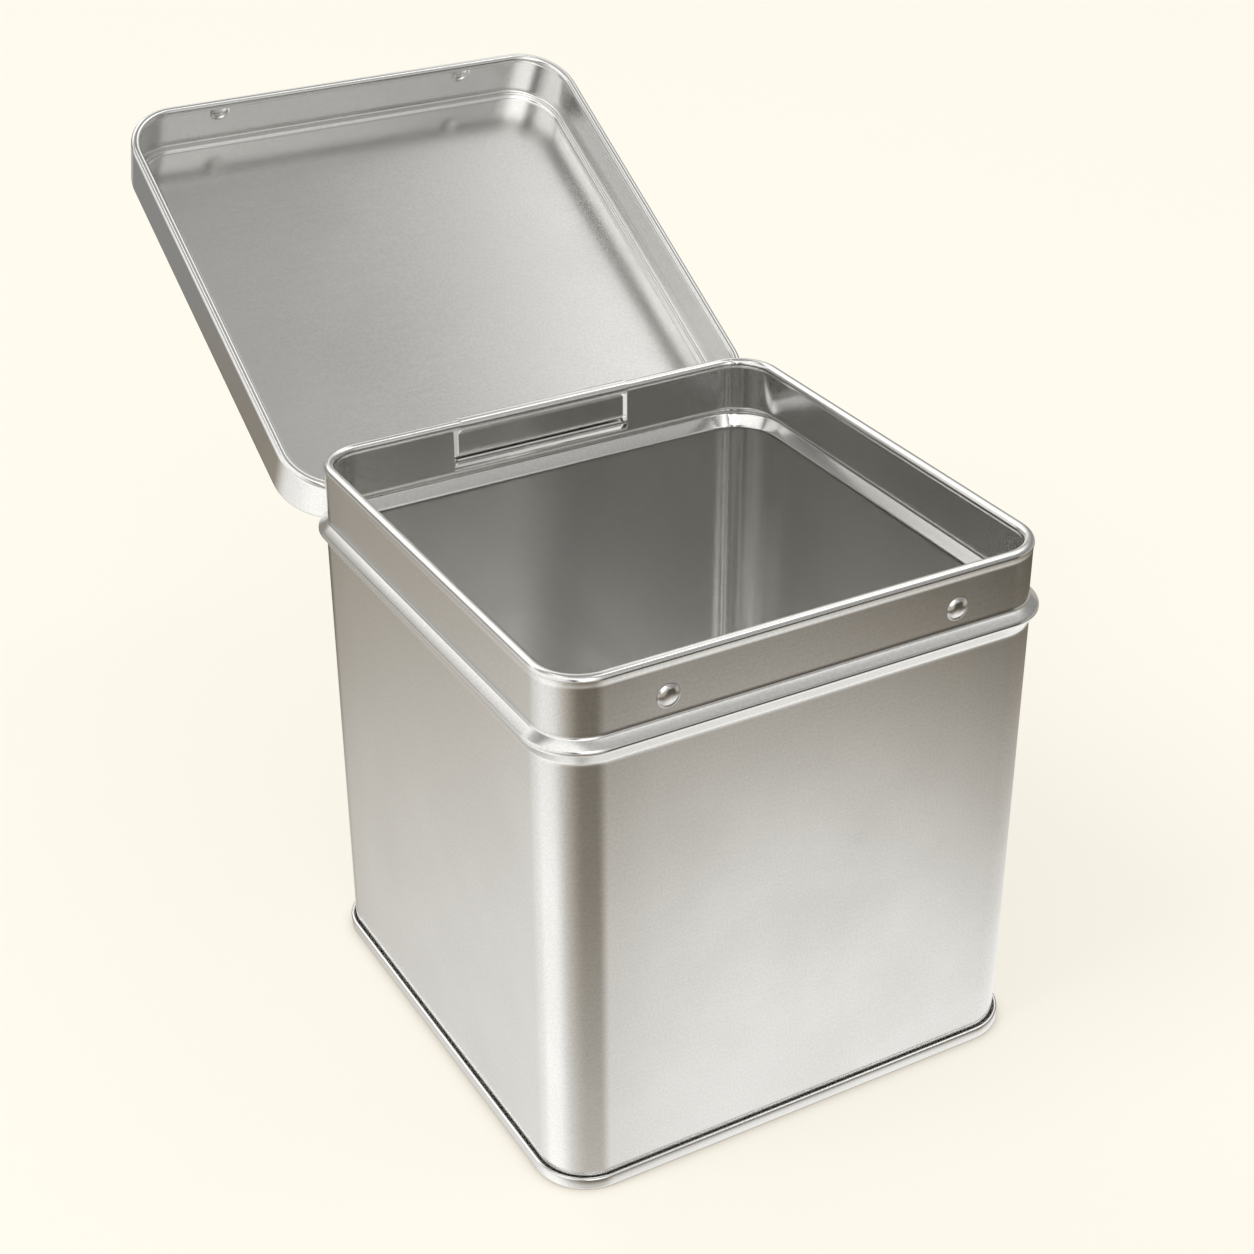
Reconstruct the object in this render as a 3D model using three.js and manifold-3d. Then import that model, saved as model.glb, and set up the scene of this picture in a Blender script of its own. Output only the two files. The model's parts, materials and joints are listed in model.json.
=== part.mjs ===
import * as THREE from "three";
import { mergeVertices } from "three/addons/utils/BufferGeometryUtils.js";
import Module from "manifold-3d";

const wasm = await Module();
wasm.setup();

// Square tinplate box with a hinged lid, in millimetres. It stands on z = 0 with its front towards -Y
// and the hinge along the back.
const SHEET = 0.28;
const BODY_SIDE = 100;
const CORNER_RADIUS = 9.5;
const RIM_HEIGHT = 107;

// Shoulder bead with two sloping sides and a rounded nose, the neck above it, and the rim rolled inwards
// on top of the neck.
const NECK_HEIGHT = 11.3;
const NECK_INSET = 0.4;
const BEAD_HEIGHT = 4.7;
const BEAD_PROUD = 1.55;
const NOSE_RADIUS = 0.95;
const NOSE_TURN = 40;
const RIM_RADIUS = 1.05;
const RIM_PROUD = 0.15;
const RIM_LEAN_DROP = 1.9;
const ROLL_WRAP = 285;

// Base: its edge turns up outside the wall and is hemmed over the wall's own foot flange.
const BASE_RIM_HEIGHT = 2.6;
const BASE_BEND = 0.5;
const HEM_LEG = 1.2;
const HEM_GAP = 0.14;
const SEAM_GAP = 0.3;

// Lid: a skirt rolled inwards at its edge, a ledge over the rim and a panel raised inside the ledge.
// It sits a little forward, so that its front edge clears the rim as it swings.
const LID_ROLL_RADIUS = 1;
const LID_CLEARANCE = 0.5;
const LID_FORWARD = 0.2;
const LID_SEAT_GAP = 0.26;
const LID_EDGE_RADIUS = 0.8;
const LEDGE_WIDTH = 1.35;
const PANEL_RAISE = 0.6;
const STEP_WIDTH = 0.75;

// Hinge: a strap hooked over the rim leaves through a window in the neck and is rolled round a wire,
// which runs on into the lid's back roll on both sides.
const HINGE_RISE = 1.65;
const STRAP_WIDTH = 37;
const STRAP_PLAY = 0.06;
const HOOK_FROM = 15;
const HOOK_TO = 230;
const KNUCKLE_WRAP = 305;
const KNUCKLE_GAP = 0.5;
const NOTCH_RISE = 1.7;
const WINDOW_SIDE_GAP = 1;
const WINDOW_HEAD_GAP = 0.2;
const SILL_DROP = 1.45;
const PIN_PLAY = 0.3;
const PIN_REACH = 9;
const STOP_GAP = 0.3;

// Snap pips, pressed outwards in the front of the neck and of the skirt so that they nest.
const PIP_SPACING = 57.8;
const PIP_RISE = 4.5;
const PIP_RADIUS = 2.1;
const PIP_PLAY = 0.15;

// Facets: steps round a corner, the largest turn along an arc, rings on a pip's ball.
const CORNER_STEPS = 6;
const ARC_STEP = 24;
const BALL_STEPS = 28;

const neckHalf = BODY_SIDE / 2 - NECK_INSET;
const neckFoot = RIM_HEIGHT - NECK_HEIGHT;
const axisY = neckHalf + LID_CLEARANCE - LID_FORWARD + LID_ROLL_RADIUS;
const axisZ = neckFoot + HINGE_RISE;
const rollMiddle = LID_ROLL_RADIUS - SHEET / 2;

// Points along an arc about [out, up], from one angle to another in degrees.
function arc([out, up], radius, from, to) {
  const steps = Math.max(2, Math.ceil(Math.abs(to - from) / ARC_STEP));
  return Array.from({ length: steps + 1 }, (_, i) => {
    const angle = THREE.MathUtils.degToRad(from + ((to - from) * i) / steps);
    return [out + radius * Math.cos(angle), up + radius * Math.sin(angle)];
  });
}

// Outline of a sheet whose middle line is the path: out along its right side, back along its left.
function sheetOutline(path) {
  const along = path.slice(1).map(([out, up], i) => {
    const length = Math.hypot(out - path[i][0], up - path[i][1]);
    return [(out - path[i][0]) / length, (up - path[i][1]) / length];
  });
  const side = (sign) => path.map(([out, up], i) => {
    const before = along[Math.max(i - 1, 0)];
    const after = along[Math.min(i, along.length - 1)];
    const share = (sign * SHEET) / 2 / (1 + before[0] * after[0] + before[1] * after[1]);
    return [out + share * (before[1] + after[1]), up - share * (before[0] + after[0])];
  });
  return [...side(1), ...side(-1).reverse()];
}

// Outline carried round a square plan. It is turned as a lathe, then each quarter of the turn is moved
// out to its own corner, so that straight walls join the quarters.
function carriedRound(outline, half, radius) {
  const quarter = CORNER_STEPS + 1;
  const ring = [...outline, outline[0]].map(([out, up]) => new THREE.Vector2(radius + out, up));
  const lathe = new THREE.LatheGeometry(ring, 4 * quarter);
  const place = lathe.getAttribute("position");
  for (let i = 0; i < place.count; i++) {
    const column = Math.floor(i / ring.length) % (4 * quarter);
    const corner = Math.floor(column / quarter);
    const angle = ((corner + (column % quarter) / CORNER_STEPS) * Math.PI) / 2;
    const diagonal = ((corner + 0.5) * Math.PI) / 2;
    const { x: reach, y: up } = ring[i % ring.length];
    const shift = reach > 0 ? half - radius : 0;
    const x = shift * Math.sign(Math.cos(diagonal)) + reach * Math.cos(angle);
    const y = shift * Math.sign(Math.sin(diagonal)) + reach * Math.sin(angle);
    place.setXYZ(i, x, y, up);
  }
  return lathe;
}

// Closed solid from a geometry, with shared points merged and flattened triangles left out.
function solid(geometry) {
  const bare = geometry.clone();
  bare.deleteAttribute("normal");
  bare.deleteAttribute("uv");
  const merged = mergeVertices(bare, 1e-5);
  const index = merged.getIndex().array;
  const kept = [];
  for (let i = 0; i < index.length; i += 3) {
    const [a, b, c] = index.slice(i, i + 3);
    if (a !== b && b !== c && c !== a) {
      kept.push(a, b, c);
    }
  }
  const vertProperties = new Float32Array(merged.getAttribute("position").array);
  const triVerts = new Uint32Array(kept);
  return new wasm.Manifold(new wasm.Mesh({ numProp: 3, vertProperties, triVerts }));
}

function box([x0, y0, z0], [x1, y1, z1]) {
  const geometry = new THREE.BoxGeometry(x1 - x0, y1 - y0, z1 - z0);
  geometry.translate((x0 + x1) / 2, (y0 + y1) / 2, (z0 + z1) / 2);
  return solid(geometry);
}

// Two round pips pressed outwards in a wall whose outer face is at y = -face: on each side a thin slab
// of the wall takes a domed outside and a dished inside.
function pressPips(wall, face) {
  const proud = LID_CLEARANCE + LID_FORWARD - PIP_PLAY;
  const round = (PIP_RADIUS ** 2 + proud ** 2) / (2 * proud);
  const up = neckFoot + PIP_RISE;
  return [-1, 1].reduce((pressed, side) => {
    const x = (side * PIP_SPACING) / 2;
    const cap = (radius, depth) => {
      const ball = new THREE.SphereGeometry(radius, BALL_STEPS, BALL_STEPS);
      ball.translate(x, round - proud - face, up);
      const slab = box(
        [x - 2 * PIP_RADIUS, -face - 2 * proud, up - 2 * PIP_RADIUS],
        [x + 2 * PIP_RADIUS, depth - face, up + 2 * PIP_RADIUS],
      );
      return solid(ball).intersect(slab);
    };
    return pressed.add(cap(round, SHEET / 2)).subtract(cap(round - SHEET, 1.5 * SHEET));
  }, wall);
}

const tinplate = new THREE.MeshStandardMaterial({ color: 0xc9c6c0, roughness: 0.35, metalness: 1 });
const wire = new THREE.MeshStandardMaterial({ color: 0xa9a7a2, roughness: 0.3, metalness: 1 });

// Geometry of a solid that was joined and cut.
function surface(joined) {
  const { vertProperties, triVerts } = joined.getMesh();
  const geometry = new THREE.BufferGeometry();
  geometry.setAttribute("position", new THREE.BufferAttribute(vertProperties, 3));
  geometry.setIndex(new THREE.BufferAttribute(triVerts, 1));
  geometry.computeVertexNormals();
  return geometry;
}

function piece(name, geometry, material) {
  const mesh = new THREE.Mesh(geometry, material);
  mesh.name = name;
  return mesh;
}

// Body: one sheet from its foot flange up the wall, round the bead, up the neck and into the rolled rim.
// Outward distances are from the wall's outer face.
const flangeOut = SHEET + HEM_GAP;
const flangeUp = 1.5 * SHEET + SEAM_GAP;
const rimMiddle = [RIM_PROUD - NECK_INSET - RIM_RADIUS, RIM_HEIGHT - RIM_RADIUS];
const beadMiddle = [BEAD_PROUD - NOSE_RADIUS, neckFoot - BEAD_HEIGHT / 2];
const bead = [
  [-SHEET / 2, neckFoot - BEAD_HEIGHT],
  ...arc(beadMiddle, NOSE_RADIUS - SHEET / 2, -NOSE_TURN, NOSE_TURN),
  [-NECK_INSET - SHEET / 2, neckFoot],
];
const bodyPath = [
  [flangeOut, flangeUp],
  [-SHEET / 2, flangeUp],
  ...bead,
  [-NECK_INSET - SHEET / 2, RIM_HEIGHT - RIM_LEAN_DROP],
  ...arc(rimMiddle, RIM_RADIUS - SHEET / 2, 0, ROLL_WRAP),
];
const bodySheet = solid(carriedRound(sheetOutline(bodyPath), BODY_SIDE / 2, CORNER_RADIUS));
const windowHalf = STRAP_WIDTH / 2 + WINDOW_SIDE_GAP;
const windowCut = box(
  [-windowHalf, neckHalf - 2 * SHEET, axisZ - SILL_DROP],
  [windowHalf, neckHalf + SHEET, RIM_HEIGHT - 2 * RIM_RADIUS - WINDOW_HEAD_GAP],
);
const pressedBody = pressPips(bodySheet.subtract(windowCut), neckHalf);
const body = piece("body_shell", surface(pressedBody), tinplate);

// Base: flat floor, edge turned up outside the wall, then hemmed inwards and down over the flange.
const hemRadius = (SHEET + HEM_GAP) / 2;
const hemMiddle = SEAM_GAP + SHEET + HEM_GAP / 2;
const upstand = hemMiddle + hemRadius;
const basePath = [
  [-CORNER_RADIUS, SHEET / 2],
  ...arc([upstand - BASE_BEND, SHEET / 2 + BASE_BEND], BASE_BEND, -90, 0),
  ...arc([hemMiddle, BASE_RIM_HEIGHT - SHEET / 2 - hemRadius], hemRadius, 0, 180),
  [hemMiddle - hemRadius, BASE_RIM_HEIGHT - HEM_LEG],
];
const baseSheet = solid(carriedRound(sheetOutline(basePath), BODY_SIDE / 2, CORNER_RADIUS));
const base = piece("base_panel", surface(baseSheet), tinplate);

// Lid, drawn closed: raised panel, step, ledge, rounded edge, skirt and rolled edge. Outward distances
// are from the skirt's outer face. The back roll is notched for the strap.
const lidReach = LID_CLEARANCE + 2 * LID_ROLL_RADIUS;
const lidHalf = neckHalf + lidReach;
const lidRadius = CORNER_RADIUS - NECK_INSET + lidReach;
const ledgeUp = RIM_HEIGHT + STRAP_PLAY + SHEET + LID_SEAT_GAP + SHEET / 2;
const lidPath = [
  [-lidRadius, ledgeUp + PANEL_RAISE],
  [-LEDGE_WIDTH - STEP_WIDTH, ledgeUp + PANEL_RAISE],
  [-LEDGE_WIDTH, ledgeUp],
  ...arc([-SHEET / 2 - LID_EDGE_RADIUS, ledgeUp - LID_EDGE_RADIUS], LID_EDGE_RADIUS, 90, 0),
  ...arc([-LID_ROLL_RADIUS, axisZ], rollMiddle, 0, -ROLL_WRAP),
];
const lidSheet = solid(carriedRound(sheetOutline(lidPath), lidHalf, lidRadius));
const notchHalf = STRAP_WIDTH / 2 + KNUCKLE_GAP;
const notchCut = box(
  [-notchHalf, lidHalf - 2 * LID_ROLL_RADIUS - SHEET, axisZ - LID_ROLL_RADIUS - SHEET],
  [notchHalf, lidHalf + SHEET, axisZ + NOTCH_RISE],
);
const pressedLid = pressPips(lidSheet.subtract(notchCut), lidHalf);
const lid = piece("lid_shell", surface(pressedLid), tinplate);
lid.position.set(0, -LID_FORWARD - axisY, -axisZ);

// The lid falls back until its skirt leans on the bead: for each point of the bead, the turn that
// brings the skirt's outer face to the stop's gap from it.
const openAngle = Math.min(...bead.map(([out, up]) => {
  const y = BODY_SIDE / 2 + out + SHEET / 2 - axisY;
  const z = up - axisZ;
  return Math.acos((LID_ROLL_RADIUS + STOP_GAP) / Math.hypot(y, z)) - Math.atan2(z, y);
}));
const lidSwing = new THREE.Group();
lidSwing.position.set(0, axisY, axisZ);
lidSwing.rotation.x = -openAngle;
lidSwing.add(lid);

// Strap: hooked over the rim from outside, down in the plane of the neck, out through the window and
// round the wire. Its outline is in world y and z, and is drawn out along x.
const hookRadius = RIM_RADIUS + STRAP_PLAY + SHEET / 2;
const hook = arc([BODY_SIDE / 2 + rimMiddle[0], rimMiddle[1]], hookRadius, HOOK_FROM, HOOK_TO);
const [hookOut, hookUp] = hook[hook.length - 1];
const strapOut = neckHalf - SHEET / 2;
const bendRadius = axisY - strapOut;
const strapPath = [
  ...hook,
  [strapOut, hookUp - (strapOut - hookOut) / Math.tan(THREE.MathUtils.degToRad(HOOK_TO))],
  ...arc([axisY, axisZ + rollMiddle + bendRadius], bendRadius, 180, 270),
  ...arc([axisY, axisZ], rollMiddle, 90, 90 - KNUCKLE_WRAP).slice(1),
];
const strapShape = new THREE.Shape(sheetOutline(strapPath).map(([y, z]) => new THREE.Vector2(y, z)));
const strapGeometry = new THREE.ExtrudeGeometry(strapShape, { depth: STRAP_WIDTH, bevelEnabled: false });
strapGeometry.translate(0, 0, -STRAP_WIDTH / 2);
strapGeometry.applyMatrix4(new THREE.Matrix4().makeBasis(
  new THREE.Vector3(0, 1, 0),
  new THREE.Vector3(0, 0, 1),
  new THREE.Vector3(1, 0, 0),
));
const strap = piece("hinge_strap", strapGeometry, tinplate);

// Wire: free to turn in the strap's roll and in the lid's back roll.
const pinRadius = LID_ROLL_RADIUS - SHEET - PIN_PLAY;
const pinLength = STRAP_WIDTH + 2 * (KNUCKLE_GAP + PIN_REACH);
const pinGeometry = new THREE.CylinderGeometry(pinRadius, pinRadius, pinLength, 16);
pinGeometry.rotateZ(Math.PI / 2);
const pin = piece("hinge_pin", pinGeometry, wire);
pin.position.set(0, axisY, axisZ);

const tin = new THREE.Group();
tin.add(body, base, lidSwing, strap, pin);

export default tin;
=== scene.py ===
import json
from math import cos, pi, radians, sin, tan

import bmesh
import bpy
from mathutils import Matrix, Vector


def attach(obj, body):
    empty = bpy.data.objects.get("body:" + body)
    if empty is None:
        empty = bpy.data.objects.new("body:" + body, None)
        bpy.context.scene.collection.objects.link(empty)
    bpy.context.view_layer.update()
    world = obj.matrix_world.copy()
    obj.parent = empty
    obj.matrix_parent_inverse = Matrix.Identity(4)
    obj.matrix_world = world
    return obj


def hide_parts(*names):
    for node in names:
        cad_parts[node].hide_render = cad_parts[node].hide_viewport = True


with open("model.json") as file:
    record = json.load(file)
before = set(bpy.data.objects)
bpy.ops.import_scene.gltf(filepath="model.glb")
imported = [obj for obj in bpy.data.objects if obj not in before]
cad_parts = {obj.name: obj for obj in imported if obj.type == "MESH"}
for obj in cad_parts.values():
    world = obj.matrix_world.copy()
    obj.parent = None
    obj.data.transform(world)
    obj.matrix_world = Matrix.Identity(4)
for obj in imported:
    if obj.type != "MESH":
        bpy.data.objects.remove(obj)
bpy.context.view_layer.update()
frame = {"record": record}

# Body: the wall of the tin, one blank of satin tinplate joined by a fine seam at the back right corner.
# The foot is turned out for the base seam, a bead is rolled round the shoulder, and the neck ends in a
# rim curled inwards. The back of the neck has a window for the hinge, the front two pressed pips.
MM = 0.001
SHEET = 0.28 * MM
BODY_HALF = 50 * MM
CORNER = 9.5 * MM
RIM_TOP = 107 * MM
CORNER_STEPS = 20
FOOT_FLANGE = 0.42 * MM
FOOT_LEVEL = 0.72 * MM
FOOT_BEND = 0.3 * MM
FOOT_STEPS = 4
BEAD_PROUD = 1.5 * MM
BEAD_FOOT = 91 * MM
BEAD_FILLET = 0.4 * MM
FILLET_STEPS = 4
NOSE_LEVEL = 93.55 * MM
NOSE_RADIUS = 0.95 * MM
NOSE_TURN = 40
NOSE_STEPS = 14
NECK_INSET = 0.4 * MM
NECK_FOOT = 95.35 * MM
RIM_RADIUS = 1.05 * MM
RIM_PROUD = 0.15 * MM
RIM_LEAN = 1.9 * MM
CURL_WRAP = 285
CURL_STEPS = 26
WINDOW_HALF = 19.5 * MM
WINDOW_SILL = 95.9 * MM
WINDOW_HEAD = 104.7 * MM
PIP_X = 28.9 * MM
PIP_Z = 99.4 * MM
PIP_RADIUS = 2.1 * MM
PIP_PROUD = 0.55 * MM
PIP_PATCH = 2.5 * MM
PIP_CUTS = 7
PIP_INSET = PIP_PATCH / 30
PIP_SECTION = (
    (1.12, 0), (1.07, 0), (1.01, 0.04), (0.96, 0.18), (0.9, 0.37), (0.8, 0.6), (0.64, 0.8), (0.43, 0.93),
    (0.22, 0.985), (0.08, 1))
SEAM_ANGLE = 67
SEAM_HALF = 1.6
SEAM_DEPTH = 0.1 * MM
FLAT_MARGIN = 0.5 * MM
CORNER_FADE = 9 * MM
TOUCH = SHEET / 100
CREASE = radians(32)


def arc(middle, radius, start, end, steps):
    """Points of an arc about (out, up), between two angles in degrees."""
    turns = [radians(start + (end - start) * i / steps) for i in range(steps + 1)]
    return [(middle[0] + radius * cos(t), middle[1] + radius * sin(t)) for t in turns]


def eased_corner(before, corner, after, reach):
    """Points that round off a corner of a path, starting and ending a short reach from it."""
    bent, start, end = Vector(corner), Vector(before), Vector(after)
    start = bent + (start - bent).normalized() * reach
    end = bent + (end - bent).normalized() * reach
    shares = [i / FILLET_STEPS for i in range(FILLET_STEPS + 1)]
    return [tuple(start * (1 - t) ** 2 + bent * 2 * t * (1 - t) + end * t ** 2) for t in shares]


def carried_round(path, half, corner, stops, seam=None):
    """Sheet with the path as its section, turned round the corners and drawn along the sides to each stop."""
    straight = half - corner
    sheet = bmesh.new()
    section = [sheet.verts.new((half + out, straight, up)) for out, up in path]
    section += [sheet.edges.new(pair) for pair in zip(section, section[1:])]
    for quarter in range(4):
        facing = Matrix.Rotation(quarter * pi / 2, 3, "Z")
        centre = facing @ Vector((straight, straight, 0))
        turns = [90]
        if seam and quarter == 0:
            turns = [seam - SEAM_HALF, SEAM_HALF, SEAM_HALF, 90 - seam - SEAM_HALF]
        for number, turn in enumerate(turns):
            steps = max(1, round(CORNER_STEPS * turn / 90))
            spun = bmesh.ops.spin(
                sheet, geom=section, cent=centre, axis=(0, 0, 1), angle=radians(turn), steps=steps)
            section = spun["geom_last"]
            if number == 1:
                groove = [v for v in section if isinstance(v, bmesh.types.BMVert)]
                away = Vector((cos(radians(seam)), sin(radians(seam)), 0))
        here = -straight
        for there in [CORNER_FADE - straight, *stops, straight - CORNER_FADE, straight]:
            along = facing @ Vector((here - there, 0, 0))
            drawn = bmesh.ops.spin(
                sheet, geom=section, dvec=along, cent=centre, axis=(0, 0, 1), angle=0, steps=1)
            section = drawn["geom_last"]
            here = there
    if seam:
        bmesh.ops.translate(sheet, verts=groove, vec=away * SEAM_DEPTH)
    bmesh.ops.remove_doubles(sheet, verts=sheet.verts, dist=TOUCH)
    return sheet


def cut_out(sheet, low, high):
    """Cuts the back wall along the sides of a box and removes what lies inside."""
    for corner in (low, high):
        for normal in ((1, 0, 0), (0, 0, 1)):
            wall = [f for f in sheet.faces if low[1] < f.calc_center_median().y < high[1]]
            edges = {e for f in wall for e in f.edges}
            verts = {v for f in wall for v in f.verts}
            bmesh.ops.bisect_plane(
                sheet, geom=[*wall, *edges, *verts], dist=TOUCH, plane_co=corner, plane_no=normal)
    inside = [
        f for f in sheet.faces
        if all(least < here < most for least, here, most in zip(low, f.calc_center_median(), high))
    ]
    bmesh.ops.delete(sheet, geom=inside, context="FACES")


def press_pip(sheet, x, face, level, proud):
    """Presses a round pip outwards in the patch of the front wall at x, whose middle is at y = face."""
    middle = Vector((x, face, level))
    patch = min(sheet.faces, key=lambda f: (f.calc_center_median() - middle).length)
    edge = list(patch.edges)
    bmesh.ops.delete(sheet, geom=[patch], context="FACES_ONLY")
    bmesh.ops.subdivide_edges(sheet, edges=edge, cuts=PIP_CUTS)
    near = [
        v for v in sheet.verts
        if abs(v.co.y - face) < TOUCH and (v.co - middle).length < 2 * PIP_PATCH
    ]
    edge = list({e for v in near for e in v.link_edges if e.is_boundary})
    dome = bmesh.ops.edgeloop_fill(sheet, edges=edge)["faces"]
    for reach, rise in PIP_SECTION:
        bmesh.ops.inset_individual(sheet, faces=dome, thickness=PIP_INSET)
        for corner in dome[0].verts:
            aside = corner.co - middle
            aside.y = 0
            corner.co = middle + aside.normalized() * reach * PIP_RADIUS
            corner.co.y = face - rise * proud


class Finish:
    """A socket in the node tree of a finish or of the studio's light. Arithmetic on it adds Math nodes."""

    def __init__(self, tree, socket=None):
        self.tree = tree
        self.socket = socket

    def node(self, kind, settings=None, sockets=None, out=0):
        made = self.tree.nodes.new(kind)
        for name, value in (settings or {}).items():
            setattr(made, name, value)
        for name, value in (sockets or {}).items():
            if isinstance(value, Finish):
                self.tree.links.new(value.socket, made.inputs[name])
            else:
                made.inputs[name].default_value = value
        return Finish(self.tree, made.outputs[out] if made.outputs else None)

    def maths(self, operation, *values):
        return self.node("ShaderNodeMath", {"operation": operation}, dict(enumerate(values)))

    def __add__(self, other):
        return self.maths("ADD", self, other)

    def __radd__(self, other):
        return self.maths("ADD", other, self)

    def __sub__(self, other):
        return self.maths("SUBTRACT", self, other)

    def __rsub__(self, other):
        return self.maths("SUBTRACT", other, self)

    def __mul__(self, other):
        return self.maths("MULTIPLY", self, other)

    def __rmul__(self, other):
        return self.maths("MULTIPLY", other, self)

    def __truediv__(self, other):
        return self.maths("DIVIDE", self, other)

    def eased(self, start, end):
        """Zero before start, one after end, and smooth between them."""
        return self.node("ShaderNodeMapRange", {"interpolation_type": "SMOOTHSTEP"},
                         {"Value": self, "From Min": start, "From Max": end})

    def mixed(self, first, second):
        """Colour that goes from the first to the second as this value goes from 0 to 1."""
        return self.node("ShaderNodeMix", {"data_type": "RGBA"}, {0: self, 6: first, 7: second}, out=2)


TIN_LIGHT = (0.835, 0.8325, 0.823, 1)
TIN_WARM = (0.76, 0.755, 0.743, 1)
TIN_ROUGH = 0.14
GRAIN_SCALE = 2600
GRAIN_STRETCH = (0.06, 0.06, 1)
GRAIN_ROUGH = 0.04
GRAIN_HEIGHT = 0.0012 * MM
SPECK_SCALE = 2100
SPECK_TONE = 0.65
SPECK_HEIGHT = 0.0006 * MM
CLOUD_SCALE = 38
CLOUD_DETAIL = 4.0
CLOUD_BREAK = 0.55
CLOUD_TONE = 0.35
CLOUD_ROUGH = 0.03
WAVE_SCALE = 26
WAVE_HEIGHT = 0.02 * MM
PANEL_ROUGH = 0.05


def tinplate(name, tilt=0, panel_level=None):
    """Satin tinplate: fine rolling grain along X and Y, specks, faint clouds and a slight waviness.

    The tilt turns the grain with a lid that stands open. A panel above the given level is a little duller.
    """
    metal = bpy.data.materials.new(name)
    metal.use_nodes = True
    metal.node_tree.nodes.clear()
    start = Finish(metal.node_tree)
    place = start.node("ShaderNodeTexCoord", out=3)
    drawn = start.node("ShaderNodeMapping", {}, {
        "Vector": place, "Rotation": (tilt, 0, 0), "Scale": GRAIN_STRETCH})
    grain = start.node("ShaderNodeTexNoise", {}, {"Vector": drawn, "Scale": GRAIN_SCALE, "Detail": 2.0})
    speck = start.node("ShaderNodeTexNoise", {}, {"Vector": place, "Scale": SPECK_SCALE, "Detail": 1.0})
    cloud = start.node("ShaderNodeTexNoise", {}, {
        "Vector": place, "Scale": CLOUD_SCALE, "Detail": CLOUD_DETAIL, "Roughness": CLOUD_BREAK})
    wave = start.node("ShaderNodeTexNoise", {}, {"Vector": place, "Scale": WAVE_SCALE, "Detail": 1.0})
    clouded = cloud.eased(0.3, 0.7)
    specked = speck.eased(0.3, 0.7)
    colour = (clouded * CLOUD_TONE + specked * SPECK_TONE).mixed(TIN_LIGHT, TIN_WARM)
    rough = TIN_ROUGH + clouded * CLOUD_ROUGH + grain * GRAIN_ROUGH
    if panel_level is not None:
        shut = start.node("ShaderNodeMapping", {}, {"Vector": place, "Rotation": (tilt, 0, 0)})
        height = start.node("ShaderNodeSeparateXYZ", {}, {"Vector": shut}, out=2)
        rough = rough + height.eased(panel_level - SHEET * 2, panel_level - SHEET) * PANEL_ROUGH
    relief = wave * WAVE_HEIGHT + grain * GRAIN_HEIGHT + speck * SPECK_HEIGHT
    shape = start.node("ShaderNodeBump", {}, {"Height": relief, "Strength": 1.0, "Distance": 1.0})
    shader = start.node("ShaderNodeBsdfPrincipled", {}, {
        "Base Color": colour, "Metallic": 1.0, "Roughness": rough, "Normal": shape})
    start.node("ShaderNodeOutputMaterial", {}, {"Surface": shader})
    return metal


def fit_piece(name, mesh_parts, finish, body, thickness=0):
    """Makes a piece from its bmesh, gives a sheet its thickness, and puts it in place of its CAD node."""
    bmesh.ops.recalc_face_normals(mesh_parts, faces=mesh_parts.faces)
    for face in mesh_parts.faces:
        face.smooth = True
    for edge in mesh_parts.edges:
        edge.smooth = not edge.is_boundary and edge.calc_face_angle(0) < CREASE
    mesh = bpy.data.meshes.new(name)
    mesh_parts.to_mesh(mesh)
    mesh_parts.free()
    mesh.materials.append(finish)
    piece = bpy.data.objects.new(name, mesh)
    bpy.context.scene.collection.objects.link(piece)
    if thickness:
        wall = piece.modifiers.new("sheet", "SOLIDIFY")
        wall.thickness = thickness
        wall.offset = 0
        wall.use_even_offset = True
    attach(piece, body)
    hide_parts(name)
    piece.name = name + "_sheet" if thickness else name + "_wire"
    return piece


neck_out = -NECK_INSET - SHEET / 2
wall_out = -SHEET / 2
nose_middle = (BEAD_PROUD - NOSE_RADIUS, NOSE_LEVEL)
nose = arc(nose_middle, NOSE_RADIUS - SHEET / 2, -NOSE_TURN, NOSE_TURN, NOSE_STEPS)
rim_middle = (RIM_PROUD - NECK_INSET - RIM_RADIUS, RIM_TOP - RIM_RADIUS)
body_path = [
    (FOOT_FLANGE, FOOT_LEVEL),
    *arc((wall_out + FOOT_BEND, FOOT_LEVEL + FOOT_BEND), FOOT_BEND, 270, 180, FOOT_STEPS),
    (wall_out, FOOT_LEVEL + FOOT_BEND + FLAT_MARGIN),
    (wall_out, BEAD_FOOT - BEAD_FILLET - FLAT_MARGIN),
    *eased_corner((wall_out, 0), (wall_out, BEAD_FOOT), nose[0], BEAD_FILLET),
    *nose,
    *eased_corner(nose[-1], (neck_out, NECK_FOOT), (neck_out, RIM_TOP), BEAD_FILLET),
    (neck_out, NECK_FOOT + BEAD_FILLET + FLAT_MARGIN),
    (neck_out, PIP_Z - PIP_PATCH),
    (neck_out, PIP_Z + PIP_PATCH),
    (neck_out, RIM_TOP - RIM_LEAN - FLAT_MARGIN),
    (neck_out, RIM_TOP - RIM_LEAN),
    *arc(rim_middle, RIM_RADIUS - SHEET / 2, 0, CURL_WRAP, CURL_STEPS),
]
patch_stops = [-PIP_X - PIP_PATCH, -PIP_X + PIP_PATCH, PIP_X - PIP_PATCH, PIP_X + PIP_PATCH]
body_sheet = carried_round(body_path, BODY_HALF, CORNER, patch_stops, SEAM_ANGLE)
cut_out(
    body_sheet, (-WINDOW_HALF, BODY_HALF - CORNER, WINDOW_SILL), (WINDOW_HALF, 2 * BODY_HALF, WINDOW_HEAD))
for side in (-1, 1):
    press_pip(body_sheet, side * PIP_X, -BODY_HALF - neck_out, PIP_Z, PIP_PROUD)
fit_piece("body_shell", body_sheet, tinplate("body_tinplate"), "tin", SHEET)

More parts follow.
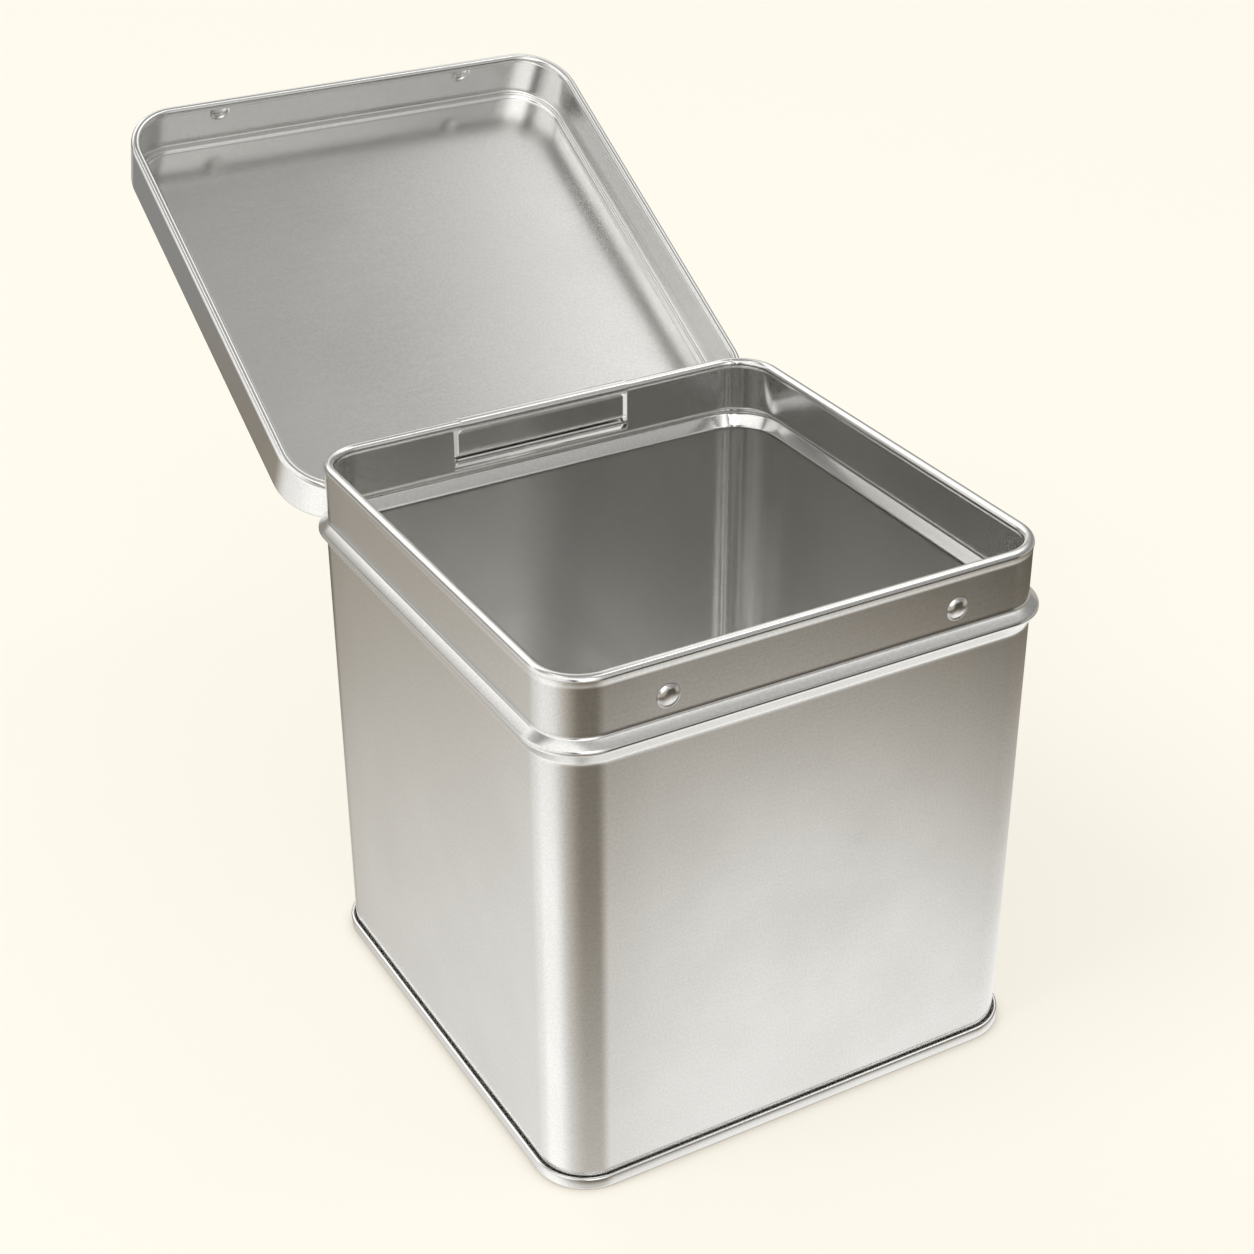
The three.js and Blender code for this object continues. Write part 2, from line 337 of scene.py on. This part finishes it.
# Base: a flat square of the same tinplate. Its edge is turned up outside the wall and hemmed inwards
# over the wall's foot flange, which leaves a dark line round the foot of the wall.
BASE_RIM = 2.6 * MM
BASE_BEND = 0.5 * MM
BASE_STEPS = 6
HEM_MIDDLE = 0.65 * MM
HEM_RADIUS = 0.21 * MM
HEM_STEPS = 8
HEM_LEG = 1.2 * MM
FLOOR_EDGE = 6 * MM


def fill_panel(sheet, level):
    """Closes the open edge at a height with one flat face."""
    edge = [
        e for e in sheet.edges
        if e.is_boundary and all(abs(v.co.z - level) < TOUCH for v in e.verts)
    ]
    bmesh.ops.edgeloop_fill(sheet, edges=edge)


upstand = HEM_MIDDLE + HEM_RADIUS
base_path = [
    (-FLOOR_EDGE, SHEET / 2),
    *arc((upstand - BASE_BEND, SHEET / 2 + BASE_BEND), BASE_BEND, -90, 0, BASE_STEPS),
    *arc((HEM_MIDDLE, BASE_RIM - SHEET / 2 - HEM_RADIUS), HEM_RADIUS, 0, 180, HEM_STEPS),
    (HEM_MIDDLE - HEM_RADIUS, BASE_RIM - HEM_LEG),
]
base_sheet = carried_round(base_path, BODY_HALF, CORNER, [])
fill_panel(base_sheet, SHEET / 2)
fit_piece("base_panel", base_sheet, tinplate("base_tinplate"), "tin", SHEET)

# Hinge strap: a strip of tinplate hooked over the rim at the back. It comes down in the plane of the
# neck, bends out through the window and is rolled round the hinge wire.
STRAP_HALF = 18.5 * MM
STRAP_LENGTHS = 8
STRAP_PLAY = 0.06 * MM
STRAP_BEND_STEPS = 10
HOOK_FROM = 15
HOOK_TO = 230
HOOK_STEPS = 24
KNUCKLE_WRAP = 305
KNUCKLE_STEPS = 30
ROLL_RADIUS = 1 * MM
hinge = frame["record"]["behaviour"]["joints"][0]
axis_y, axis_z = hinge["pos_m"][1:]

roll_middle = ROLL_RADIUS - SHEET / 2
strap_out = BODY_HALF + neck_out
hook_radius = RIM_RADIUS + STRAP_PLAY + SHEET / 2
hook = arc((BODY_HALF + rim_middle[0], rim_middle[1]), hook_radius, HOOK_FROM, HOOK_TO, HOOK_STEPS)
hook_foot = hook[-1][1] - (strap_out - hook[-1][0]) / tan(radians(HOOK_TO))
bend = axis_y - strap_out
strap_path = [
    *hook,
    (strap_out, hook_foot),
    (strap_out, hook_foot - FLAT_MARGIN),
    (strap_out, axis_z + roll_middle + bend + FLAT_MARGIN),
    *arc((axis_y, axis_z + roll_middle + bend), bend, 180, 270, STRAP_BEND_STEPS),
    *arc((axis_y, axis_z), roll_middle, 90, 90 - KNUCKLE_WRAP, KNUCKLE_STEPS)[1:],
]
strap_sheet = bmesh.new()
strip = [strap_sheet.verts.new((-STRAP_HALF, out, up)) for out, up in strap_path]
strip += [strap_sheet.edges.new(pair) for pair in zip(strip, strip[1:])]
strap_length = 2 * STRAP_HALF / STRAP_LENGTHS
bmesh.ops.spin(
    strap_sheet, geom=strip, dvec=(strap_length, 0, 0), axis=(1, 0, 0), angle=0, steps=STRAP_LENGTHS)
fit_piece("hinge_strap", strap_sheet, tinplate("strap_tinplate"), "tin", SHEET)

# Hinge wire: a straight length of drawn steel wire, cut off with rounded ends. The strap's roll holds
# its middle, and the lid's back roll turns on both ends.
WIRE_RADIUS = 0.42 * MM
WIRE_LENGTH = 56 * MM
WIRE_ROUND = 0.12 * MM
WIRE_ROUND_STEPS = 3
WIRE_SIDES = 24
WIRE_EDGE = radians(60)
WIRE_ROUGH = 0.24
DIE_LINE_SCALE = 5000
DIE_LINE_STRETCH = (0.02, 1, 1)
DIE_LINE_ROUGH = 0.12
DIE_LINE_HEIGHT = 0.004 * MM
DULL_SCALE = 400
WIRE_LIGHT = (0.62, 0.61, 0.59, 1)
WIRE_DARK = (0.5, 0.49, 0.47, 1)


def drawn_wire(name):
    """Drawn steel wire: fine die lines along its length and slight dulling."""
    metal = bpy.data.materials.new(name)
    metal.use_nodes = True
    metal.node_tree.nodes.clear()
    start = Finish(metal.node_tree)
    place = start.node("ShaderNodeTexCoord", out=3)
    along = start.node("ShaderNodeMapping", {}, {"Vector": place, "Scale": DIE_LINE_STRETCH})
    lines = start.node("ShaderNodeTexNoise", {}, {"Vector": along, "Scale": DIE_LINE_SCALE, "Detail": 2.0})
    dull = start.node("ShaderNodeTexNoise", {}, {"Vector": place, "Scale": DULL_SCALE, "Detail": 3.0})
    shape = start.node("ShaderNodeBump", {}, {
        "Height": lines * DIE_LINE_HEIGHT, "Strength": 1.0, "Distance": 1.0})
    shader = start.node("ShaderNodeBsdfPrincipled", {}, {
        "Base Color": dull.mixed(WIRE_LIGHT, WIRE_DARK), "Metallic": 1.0,
        "Roughness": WIRE_ROUGH + lines * DIE_LINE_ROUGH, "Normal": shape})
    start.node("ShaderNodeOutputMaterial", {}, {"Surface": shader})
    return metal


wire = bmesh.new()
lengthwise = Matrix.Translation((0, axis_y, axis_z)) @ Matrix.Rotation(pi / 2, 4, "Y")
bmesh.ops.create_cone(
    wire, cap_ends=True, segments=WIRE_SIDES, radius1=WIRE_RADIUS, radius2=WIRE_RADIUS, depth=WIRE_LENGTH,
    matrix=lengthwise)
ends = [e for e in wire.edges if e.calc_face_angle(0) > WIRE_EDGE]
bmesh.ops.bevel(
    wire, geom=ends, offset=WIRE_ROUND, affect="EDGES", segments=WIRE_ROUND_STEPS, profile=0.5, material=-1)
fit_piece("hinge_pin", wire, drawn_wire("hinge_wire_steel"), "tin")

# Lid: one pressed sheet of tinplate, with a raised panel, a ledge over the rim, and a skirt whose edge is
# rolled inwards. The skirt widens slightly towards that edge, so that the press lets go of it. The back
# roll turns on the hinge wire, with a notch where the strap is.
LID_HALF = 52.1 * MM
LID_CORNER = 11.6 * MM
LID_FORWARD = 0.2 * MM
LEDGE_LEVEL = 107.74 * MM
PANEL_RAISE = 0.6 * MM
STEP_FROM = 2.2 * MM
STEP_TO = 1.25 * MM
STEP_STEPS = 10
EDGE_RADIUS = 0.8 * MM
EDGE_STEPS = 10
NOTCH_HALF = 19 * MM
NOTCH_RISE = 1.7 * MM
PANEL_EDGE = 6 * MM
LID_PIP_Z = 100.2 * MM
LID_PIP_PROUD = 0.7 * MM
LID_TAPER = 0.0105
LID_OPEN = radians(hinge["range_deg"][1])

panel_level = LEDGE_LEVEL + PANEL_RAISE
panel_above = panel_level - axis_z + axis_z * cos(LID_OPEN) + axis_y * sin(LID_OPEN)
step = []
for i in range(STEP_STEPS + 1):
    step_out = -STEP_FROM + (STEP_FROM - STEP_TO) * i / STEP_STEPS
    step_drop = PANEL_RAISE * (1 - cos(pi * i / STEP_STEPS)) / 2
    step.append((step_out, panel_level - step_drop))
lid_path = [
    (-PANEL_EDGE, panel_level),
    (-STEP_FROM - FLAT_MARGIN, panel_level),
    *step,
    *arc((-SHEET / 2 - EDGE_RADIUS, LEDGE_LEVEL - EDGE_RADIUS), EDGE_RADIUS, 90, 0, EDGE_STEPS),
    (-SHEET / 2, LEDGE_LEVEL - EDGE_RADIUS - FLAT_MARGIN),
    (-SHEET / 2, LID_PIP_Z + PIP_PATCH),
    (-SHEET / 2, LID_PIP_Z - PIP_PATCH),
    *arc((-ROLL_RADIUS, axis_z), roll_middle, 0, -CURL_WRAP, CURL_STEPS),
]
lid_sheet = carried_round(lid_path, LID_HALF, LID_CORNER, patch_stops)
cut_out(
    lid_sheet, (-NOTCH_HALF, LID_HALF - CORNER, 0), (NOTCH_HALF, 2 * LID_HALF, axis_z + NOTCH_RISE))
for side in (-1, 1):
    press_pip(lid_sheet, side * PIP_X, -LID_HALF + SHEET / 2, LID_PIP_Z, LID_PIP_PROUD)
fill_panel(lid_sheet, panel_level)
for corner in lid_sheet.verts:
    rise = (corner.co.z - axis_z) / (LEDGE_LEVEL - axis_z)
    corner.co.xy *= 1 - LID_TAPER * min(max(rise, 0), 1)
bmesh.ops.translate(lid_sheet, verts=lid_sheet.verts, vec=(0, -LID_FORWARD, 0))
bmesh.ops.rotate(
    lid_sheet, verts=lid_sheet.verts, cent=(0, axis_y, axis_z), matrix=Matrix.Rotation(-LID_OPEN, 3, "X"))
fit_piece("lid_shell", lid_sheet, tinplate("lid_tinplate", LID_OPEN, panel_above), "lid", SHEET)

# Studio: a plain pale paper floor with a painted shadow that darkens it close to the tin's foot, soft light
# all round for the metal to reflect, with a dark band at the height of the horizon, two soft lamps for the
# shadow on the floor, and the camera at the viewing angle of the picture.
FLOOR_SIZE = 8
FLOOR_CREAM = (0.29, 0.279, 0.254, 1)
FLOOR_ROUGH = 0.9
FLOOR_GLOW = 0.68
PAINTED_CONTACT_SHADOW = (0.4, 0.37, 0.325, 1)
CONTACT_REACH = 5 * MM
CONTACT_RAYS = 8
BACKDROP = (0.98, 0.94, 0.84, 1)
SOFT_WARM = (1, 0.87, 0.68, 1)
SOFT_WHITE = (1, 0.992, 0.965, 1)
DARK_GLOW = 0.085
PALE_GLOW = 0.42
GROUND_GLOW = 0.97
STRIP_GLOW = 1.34
SKY_GLOW = 0.31
SKY_RISE = 0.2
BEHIND_GLOW = 0.95
BEFORE_GLOW = 0.8
LEFT_LOW_GLOW = 0.75
BACK_LOW_GLOW = 0.55
RAMP_GLOW = 0.95
CEILING_GLOW = 1.1
INNER_DARK = 0.3
LONG_LAMP_GLOW = 2.2
BACK_LAMP_GLOW = 1.6
CAMERA_EYE = (-188.46 * MM, -318.6 * MM, 290.69 * MM)
CAMERA_AZIMUTH = radians(-29.45)
CAMERA_ELEVATION = radians(29.72)
CAMERA_ROLL = radians(-0.21)
CAMERA_FOCAL = 2266.44
PICTURE_WIDTH = 1254
SENSOR_WIDTH = 36
NEAREST_SEEN = 10 * MM
MAX_BOUNCES = 16
GLOSSY_BOUNCES = 12

floor_mesh = bmesh.new()
bmesh.ops.create_grid(floor_mesh, x_segments=1, y_segments=1, size=FLOOR_SIZE / 2)
floor_data = bpy.data.meshes.new("studio_floor")
floor_mesh.to_mesh(floor_data)
floor_mesh.free()
floor = bpy.data.objects.new("studio_floor", floor_data)
bpy.context.scene.collection.objects.link(floor)
floor.visible_glossy = False
paper = bpy.data.materials.new("floor_paper")
paper.use_nodes = True
paper.node_tree.nodes.clear()
sheet_of_paper = Finish(paper.node_tree)
# Painted shadow: where the tin's foot closes off the sky, the paper's colour and glow are mixed towards a
# darker shade.
open_above = sheet_of_paper.node(
    "ShaderNodeAmbientOcclusion", {"samples": CONTACT_RAYS}, {"Distance": CONTACT_REACH}, out=1)
clear_of_painted_shadow = open_above.eased(0.3, 0.9)
paper_look = sheet_of_paper.node("ShaderNodeBsdfPrincipled", {}, {
    "Base Color": clear_of_painted_shadow.mixed(PAINTED_CONTACT_SHADOW, FLOOR_CREAM),
    "Roughness": FLOOR_ROUGH, "Specular IOR Level": 0.0,
    "Emission Color": clear_of_painted_shadow.mixed(PAINTED_CONTACT_SHADOW, BACKDROP), "Emission Strength": FLOOR_GLOW})
sheet_of_paper.node("ShaderNodeOutputMaterial", {}, {"Surface": paper_look})
floor_data.materials.append(paper)

studio = bpy.data.worlds.new("studio")
bpy.context.scene.world = studio
studio.use_nodes = True
studio.node_tree.nodes.clear()
start = Finish(studio.node_tree)
direction = start.node("ShaderNodeTexCoord")
split = start.node("ShaderNodeSeparateXYZ", {}, {"Vector": direction}).socket.node
east, north, up = (Finish(studio.node_tree, socket) for socket in split.outputs)
west = 0 - east
south = 0 - north
aside = start.maths("ABSOLUTE", east)
level = start.maths("SQRT", east * east + north * north + 0.0001)
flat_east = east / level
flat_north = north / level


def towards(bearing):
    """Cosine between a direction's bearing and another, in degrees from the front towards the right."""
    return flat_east * sin(radians(bearing)) - flat_north * cos(radians(bearing))


# Below the horizon the metal sees the ground: dark at the height of the horizon and lighter further down,
# shaded towards the near corner, with a bright strip on the left. Here and in what follows, the two numbers
# of an eased() are where the soft edge of a light starts and ends.
front_right = towards(35).eased(0.9955, 1)
under = (up - flat_north * 0.01 - front_right * 0.022 + 0.008).eased(-0.44, -0.635)
corner_shade = towards(-25).eased(0.45, 0.86) * (1 - flat_east.eased(0.1, 0.4) * 0.2)
shade = corner_shade * (0.8 - up.eased(-0.6, -0.7) * 0.42)
left = towards(-151.9).eased(0.79, 0.89)
far_left = towards(-170).eased(0.97, 0.99) * up.eased(-0.54, -0.6)
around = (1 - towards(33).eased(0.93, 0.985)) * (1 - towards(-158).eased(0.93, 0.985))
horizon = DARK_GLOW + around * up.eased(-0.47, -0.34) * PALE_GLOW
lit = DARK_GLOW + (GROUND_GLOW - far_left * 0.25) * (1 - shade) * (1 - left * 0.4)
below = horizon + (lit - horizon) * under
strip = towards(-105.3).eased(0.11, 1.68)
below = below + (STRIP_GLOW - below) * strip

# Above the horizon there are soft lights behind, before and beside the tin, for the ways that the neck, the
# bead, the lid and the inside reflect, and two duller parts, for the lid's panel and the inside right wall.
high = up.eased(0.5, 0.7)
behind = north.eased(0.5, 0.7) * up.eased(0.3, 0.42) * (1.12 - east.eased(-0.1, 0.25) * 0.5)
behind_edge = aside.eased(0.38, 0.48) * (0.85 - up.eased(0.44, 0.52) * 0.43)
behind = behind * (BEHIND_GLOW - behind_edge * (0.45 + east.eased(-0.2, 0.2) * 0.55))
before = south.eased(0.6, 0.7) * (1 - east.eased(-0.1, 0.3)) * (1 - aside.eased(0.4, 0.49)) * BEFORE_GLOW
front_low = south.eased(0.8, 0.87) * (0.25 + (1 - east.eased(0.38, 0.44)) * up.eased(0.2, 0.33) * 0.3)
front_left = (east * -1.1 - north * 0.8).eased(0.5, 0.62) * (0.05 + up.eased(0.47, 0.6) * 0.7)
left_low = west.eased(0.58, 0.72) * (1 - up.eased(0.4, 0.6)) * LEFT_LOW_GLOW
back_low = north.eased(0.75, 0.85) * east.eased(0, 0.25) * (1 - up.eased(0.3, 0.42)) * BACK_LOW_GLOW
ramp = east.eased(0.37, 0.47) * north.eased(-0.4, -0.1) * high * RAMP_GLOW
ceiling = (1 - aside.eased(0.44, 0.53)) * west.eased(0.2, 0.3) * north.eased(-0.06, 0.02) * high
ceiling = ceiling * (1 - north.eased(0.3, 0.4)) * CEILING_GLOW
inner_dark = south.eased(0.45, 0.65) * west.eased(0.42, 0.5) * (1 - up.eased(0.52, 0.64)) * INNER_DARK
panel_dark = start.maths("MAXIMUM", east.eased(0.3, 0.38), north.eased(0.15, 0.22))
panel_part = north.eased(-0.15, 0) * (1 - north.eased(0.3, 0.5)) * high
dim = panel_part * (0.08 + panel_dark * 0.14) + inner_dark
sky = SKY_GLOW + up.eased(0.33, 0.66) * SKY_RISE
above = sky + behind + before + front_low + front_left + left_low + back_low + ramp + ceiling - dim

# Two long lamps overhead draw the bright lines along the rolled edges, one across and one from front to
# back. Their sides stay straight, because they are set by a direction's slant and lean.
rising = start.maths("MAXIMUM", up, 0.05)
slant = north / rising
lean = east / rising
long_lamp = slant.eased(-0.46, -0.4) * (1 - slant.eased(-0.3, -0.24)) * east.eased(0.1, 0.25)
long_lamp = long_lamp * (1 - east.eased(0.6, 0.7)) * LONG_LAMP_GLOW
back_lamp = lean.eased(-0.2, -0.15) * (1 - lean.eased(0, 0.05)) * north.eased(0.55, 0.65) * BACK_LAMP_GLOW
above = above + (long_lamp + back_lamp) * up.eased(0.3, 0.45)
overhead = up.eased(-0.06, 0)
glow = below + (above - below) * overhead

# Bright light is nearly white and dim light warm, except overhead and low at the back, where it is pale.
# The floor's own colour stands behind everything that the camera sees directly.
whiteness = glow.eased(0, 1)
rear = north.eased(0.5, 0.7)
pale = overhead * (1 - rear * (1 - up.eased(0.3, 0.5)) * 0.6)
pale = start.maths("MAXIMUM", pale, up.eased(-0.44, -0.36) * rear * (1 - overhead))
tint = (whiteness + pale * (1 - whiteness)).mixed(SOFT_WARM, SOFT_WHITE)
reflected = start.node("ShaderNodeBackground", {}, {"Color": tint, "Strength": glow})
plain = start.node("ShaderNodeBackground", {}, {"Color": BACKDROP, "Strength": 1.0})
seen = start.node("ShaderNodeLightPath")
surroundings = start.node("ShaderNodeMixShader", {}, {0: seen, 1: reflected, 2: plain})
start.node("ShaderNodeOutputWorld", {}, {"Surface": surroundings})

for name, place, size, power in (
    ("key", (-1.7, 0.1, 2.3), 1.2, 26),
    ("fill", (1.0, -1.6, 2.8), 2.4, 12),
):
    lamp_data = bpy.data.lights.new(name, "AREA")
    lamp_data.size = size
    lamp_data.energy = power
    lamp = bpy.data.objects.new(name, lamp_data)
    lamp.location = place
    lamp.rotation_euler = Vector(place).to_track_quat("Z", "Y").to_euler()
    lamp.visible_glossy = False
    bpy.context.scene.collection.objects.link(lamp)

back = Vector((
    sin(CAMERA_AZIMUTH) * cos(CAMERA_ELEVATION),
    -cos(CAMERA_AZIMUTH) * cos(CAMERA_ELEVATION),
    sin(CAMERA_ELEVATION),
))
across = Vector((cos(CAMERA_AZIMUTH), sin(CAMERA_AZIMUTH), 0))
upward = back.cross(across)
rolled = across * cos(CAMERA_ROLL) + upward * sin(CAMERA_ROLL)
camera_data = bpy.data.cameras.new("camera")
camera_data.sensor_width = SENSOR_WIDTH
camera_data.lens = SENSOR_WIDTH * CAMERA_FOCAL / PICTURE_WIDTH
camera_data.clip_start = NEAREST_SEEN
camera = bpy.data.objects.new("camera", camera_data)
turned = Matrix((rolled, back.cross(rolled), back)).transposed().to_4x4()
camera.matrix_world = Matrix.Translation(CAMERA_EYE) @ turned
bpy.context.scene.collection.objects.link(camera)
bpy.context.scene.camera = camera
bpy.context.scene.view_settings.view_transform = "Standard"
bpy.context.scene.cycles.max_bounces = MAX_BOUNCES
bpy.context.scene.cycles.glossy_bounces = GLOSSY_BOUNCES
